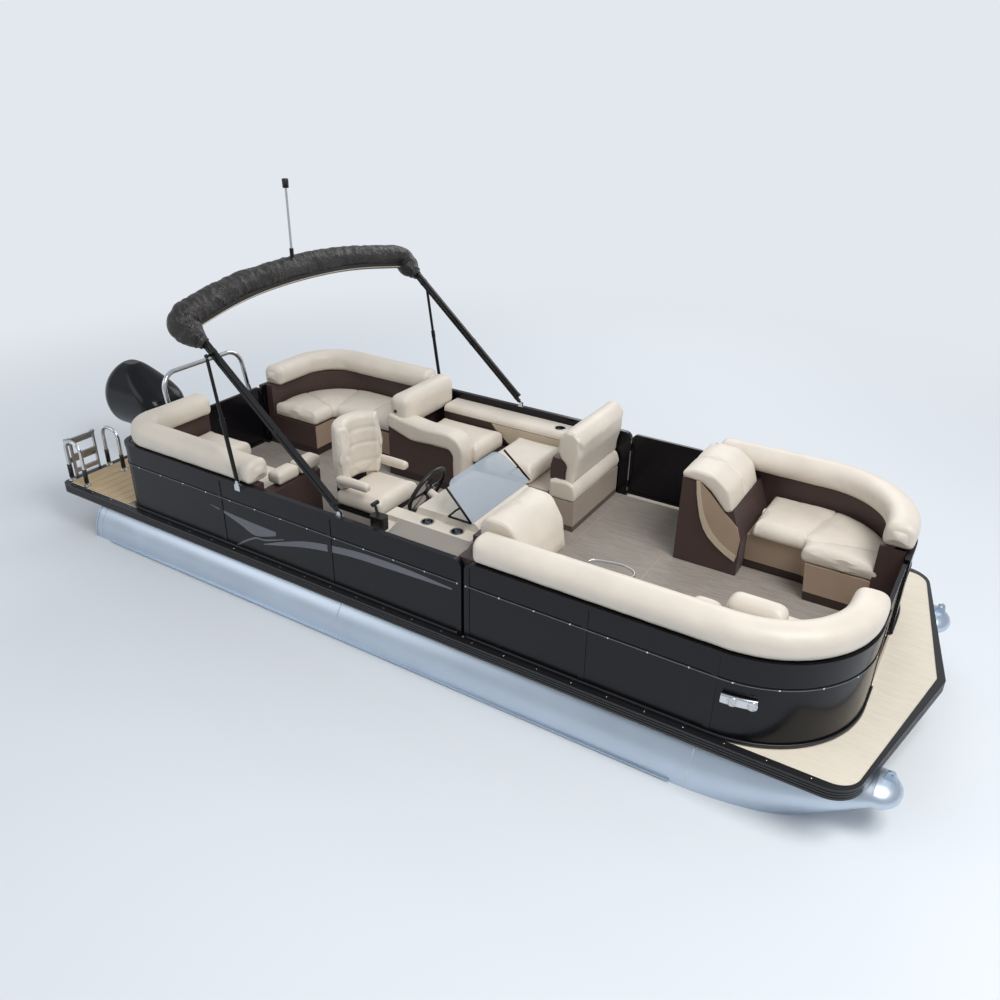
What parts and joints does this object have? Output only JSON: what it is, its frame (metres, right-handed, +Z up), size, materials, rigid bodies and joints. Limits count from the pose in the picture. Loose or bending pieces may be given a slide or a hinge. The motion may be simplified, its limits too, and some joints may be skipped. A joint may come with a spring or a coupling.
{
  "type": "pontoon boat",
  "caption": "Pontoon boat: two tubes, fenced deck with lounges and helm, folded canvas top, tilting and steering outboard, three gates and a folding ladder.",
  "frame": {"origin": "on the waterline at the centreline, amidships", "axes": "+X bow, +Y port, +Z up"},
  "size_m": [7.7379, 2.6758, 3.675],
  "materials": {
    "tube_metal": "satin mill finish",
    "structure": "satin",
    "panel_black": "gloss",
    "rub_rail": "satin",
    "floor": "woven, matte",
    "plank_tan": "matte",
    "shell_beige": "satin",
    "shell_brown": "soft sheen",
    "vinyl_cream": "soft sheen",
    "console_cream": "gloss",
    "black_plastic": "satin",
    "steel": "polished",
    "brushed": "brushed",
    "tube_black": "satin",
    "canvas": "matte",
    "screen": "clear, tinted",
    "lamp": "clear",
    "cowl_black": "gloss",
    "motor_grey": "satin"
  },
  "bodies": {
    "boat": {"bow_port_base": "shell_brown", "bow_port_cushions": "vinyl_cream", "bow_starboard_base": "shell_brown", "bow_starboard_cushions": "vinyl_cream", "chair_pedestal": "brushed", "companion_base": "shell_brown", "companion_cushions": "vinyl_cream", "cross_members": "structure", "cup_liners": "steel", "deck": "floor", "deck_trim": "rub_rail", "docking_lights": "lamp", "fence_port_aft": "panel_black", "fence_port_bow": "panel_black", "fence_starboard_aft": "panel_black", "fence_starboard_bow": "panel_black", "helm_console": "console_cream", "ladder_handrails": "steel", "mid_port_base": "shell_beige", "mid_port_cushions": "vinyl_cream", "motor_pod": "structure", "outboard_clamp": "motor_grey", "platform_planks": "plank_tan", "pontoon_port": "tube_metal", "pontoon_starboard": "tube_metal", "side_ledge": "shell_beige", "stern_port_base": "shell_brown", "stern_port_cushions": "vinyl_cream", "stern_starboard_base": "shell_brown", "stern_starboard_cushions": "vinyl_cream", "throttle": "black_plastic", "top_fittings": "steel", "tow_bar": "steel", "windscreen": "screen"},
    "motor_swivel": {"outboard_swivel": "motor_grey"},
    "outboard": {"outboard_leg": "motor_grey", "outboard_cowl": "cowl_black"},
    "propeller": {"propeller": "brushed"},
    "steering_wheel": {"steering_wheel": "black_plastic"},
    "chair": {"captain_chair": "black_plastic", "captain_chair_cushions": "vinyl_cream"},
    "bow_gate": {"bow_gate": "panel_black"},
    "side_gate": {"side_gate": "panel_black"},
    "stern_gate": {"stern_gate": "panel_black"},
    "top": {"bimini_frame": "tube_black", "bimini_boot": "canvas", "light_pole": "brushed"},
    "strut_tube_port": {"strut_tube_port": "brushed"},
    "strut_tube_starboard": {"strut_tube_starboard": "brushed"},
    "strut_rod_port": {"strut_rod_port": "steel"},
    "strut_rod_starboard": {"strut_rod_starboard": "steel"},
    "ladder_upper": {"ladder_upper": "brushed"},
    "ladder_lower": {"ladder_lower": "brushed"}
  },
  "joints": [
    {"name": "motor_tilt", "type": "hinge", "parent": "boat", "child": "motor_swivel", "pos_m": [-3.478, 0, 0.32], "axis": [0, 1, 0], "range_deg": [0, 65]},
    {"name": "motor_steer", "type": "hinge", "parent": "motor_swivel", "child": "outboard", "pos_m": [-3.6, 0, 0.16], "axis": [0, 0, 1], "range_deg": [-30, 30]},
    {"name": "propeller_spin", "type": "hinge", "parent": "outboard", "child": "propeller", "pos_m": [-3.95, 0, -0.5], "axis": [1, 0, 0], "continuous": true},
    {"name": "wheel_turn", "type": "hinge", "parent": "boat", "child": "steering_wheel", "pos_m": [-0.035, -0.6, 1.04], "axis": [-0.9135, 0, 0.4067], "range_deg": [-391, 391]},
    {"name": "chair_swivel", "type": "hinge", "parent": "boat", "child": "chair", "pos_m": [-0.56, -0.56, 0.8], "axis": [0, 0, 1], "range_deg": [-180, 180]},
    {"name": "bow_gate_swing", "type": "hinge", "parent": "boat", "child": "bow_gate", "pos_m": [3.02, -0.31, 0.7], "axis": [0, 0, 1], "range_deg": [0, 90]},
    {"name": "side_gate_swing", "type": "hinge", "parent": "boat", "child": "side_gate", "pos_m": [0.76, 1.194, 0.7], "axis": [0, 0, -1], "range_deg": [0, 90]},
    {"name": "stern_gate_swing", "type": "hinge", "parent": "boat", "child": "stern_gate", "pos_m": [-2.57, 0.3, 0.7], "axis": [0, 0, 1], "range_deg": [0, 90]},
    {"name": "top_fold", "type": "hinge", "parent": "boat", "child": "top", "pos_m": [-0.32, 0, 1.046], "axis": [0, -1, 0], "range_deg": [0, 28.5]},
    {"name": "strut_swing_port", "type": "hinge", "parent": "boat", "child": "strut_tube_port", "pos_m": [-1.235, 1.265, 1.046], "axis": [0, -1, 0], "range_deg": [0, 47.89]},
    {"name": "strut_slide_port", "type": "slide", "parent": "strut_tube_port", "child": "strut_rod_port", "axis": [-0.1489, 0, 0.9889], "range_m": [-0.3892, 0]},
    {"name": "strut_swing_starboard", "type": "hinge", "parent": "boat", "child": "strut_tube_starboard", "pos_m": [-1.235, -1.265, 1.046], "axis": [0, -1, 0], "range_deg": [0, 47.89]},
    {"name": "strut_slide_starboard", "type": "slide", "parent": "strut_tube_starboard", "child": "strut_rod_starboard", "axis": [-0.1489, 0, 0.9889], "range_m": [-0.3892, 0]},
    {"name": "ladder_swing", "type": "hinge", "parent": "boat", "child": "ladder_upper", "pos_m": [-3.476, -1.03, 0.42], "axis": [0, -1, 0], "range_deg": [0, 170]},
    {"name": "ladder_unfold", "type": "hinge", "parent": "ladder_upper", "child": "ladder_lower", "pos_m": [-3.458, -1.03, 0.786], "axis": [0, -1, 0], "range_deg": [0, 180]}
  ],
  "couplings": [
    {"joint": "wheel_turn", "follows": "motor_steer", "ratio": 13},
    {"joint": "strut_swing_port", "follows": "top_fold", "ratio": 1.663},
    {"joint": "strut_slide_port", "follows": "top_fold", "m_per_rad": -0.77632},
    {"joint": "strut_swing_starboard", "follows": "top_fold", "ratio": 1.663},
    {"joint": "strut_slide_starboard", "follows": "top_fold", "m_per_rad": -0.77632}
  ]
}
